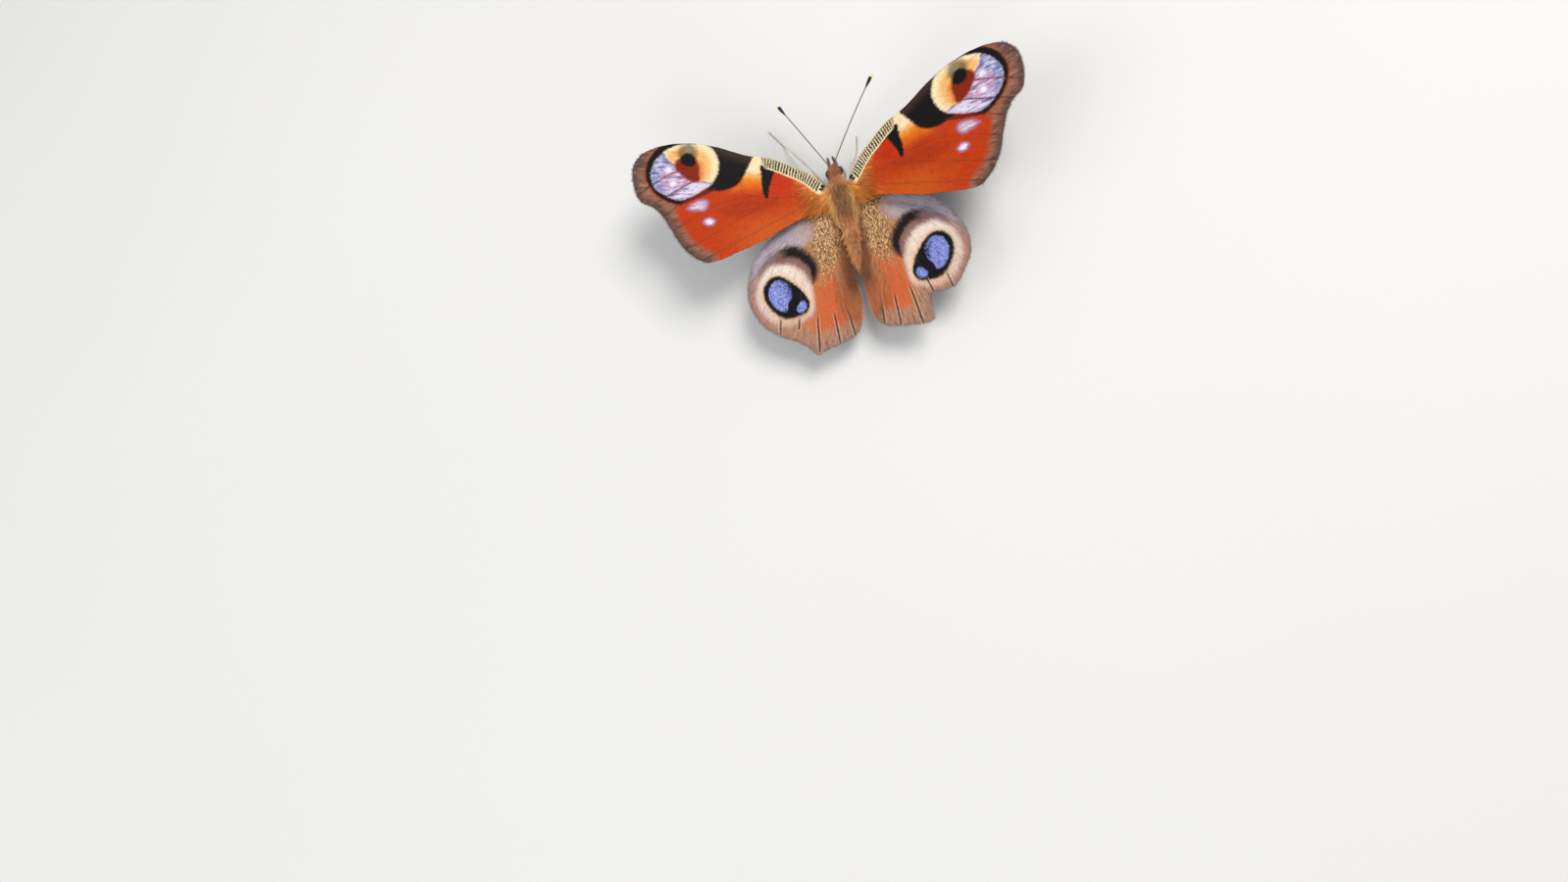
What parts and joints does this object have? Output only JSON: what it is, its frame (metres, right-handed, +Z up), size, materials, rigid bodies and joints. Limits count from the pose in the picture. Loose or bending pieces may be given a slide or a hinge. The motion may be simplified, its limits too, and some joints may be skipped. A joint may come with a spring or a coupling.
{
  "type": "peacock butterfly",
  "caption": "Life-size peacock butterfly at rest with wings spread, each wing carrying an eyespot, standing on four thin legs.",
  "frame": {"origin": "on the floor under the middle of the butterfly's box", "axes": "+X across the wings to the butterfly's right, +Y toward the head, +Z up"},
  "size_m": [0.0612, 0.0416, 0.0136],
  "materials": {
    "body_hair": "dense tawny hair over brown skin",
    "face_hair": "short red-brown bristly hair",
    "eye": "dark brown faceted dome, satin gloss",
    "tongue": "ringed brown horn",
    "feeler": "dark brown ringed horn with a cream club tip",
    "forewing": "brick-red scaled membrane with eyespot, black bars and grey-brown margin",
    "hindwing": "rust and grey-brown scaled membrane with a blue eyespot",
    "leg": "pale tan scaled horn",
    "foreleg": "brown brush of hair"
  },
  "bodies": {
    "root": {"thorax": "body_hair", "abdomen": "body_hair", "head": "face_hair", "proboscis": "tongue", "eye_left": "eye", "palp_left": "face_hair", "antenna_left": "feeler", "forewing_left": "forewing", "hindwing_left": "hindwing", "foreleg_left": "foreleg", "midleg_left_femur": "leg", "midleg_left_tibia": "leg", "midleg_left_tarsus": "leg", "hindleg_left_femur": "leg", "hindleg_left_tibia": "leg", "hindleg_left_tarsus": "leg", "eye_right": "eye", "palp_right": "face_hair", "antenna_right": "feeler", "forewing_right": "forewing", "hindwing_right": "hindwing", "foreleg_right": "foreleg", "midleg_right_femur": "leg", "midleg_right_tibia": "leg", "midleg_right_tarsus": "leg", "hindleg_right_femur": "leg", "hindleg_right_tibia": "leg", "hindleg_right_tarsus": "leg"}
  },
  "joints": []
}
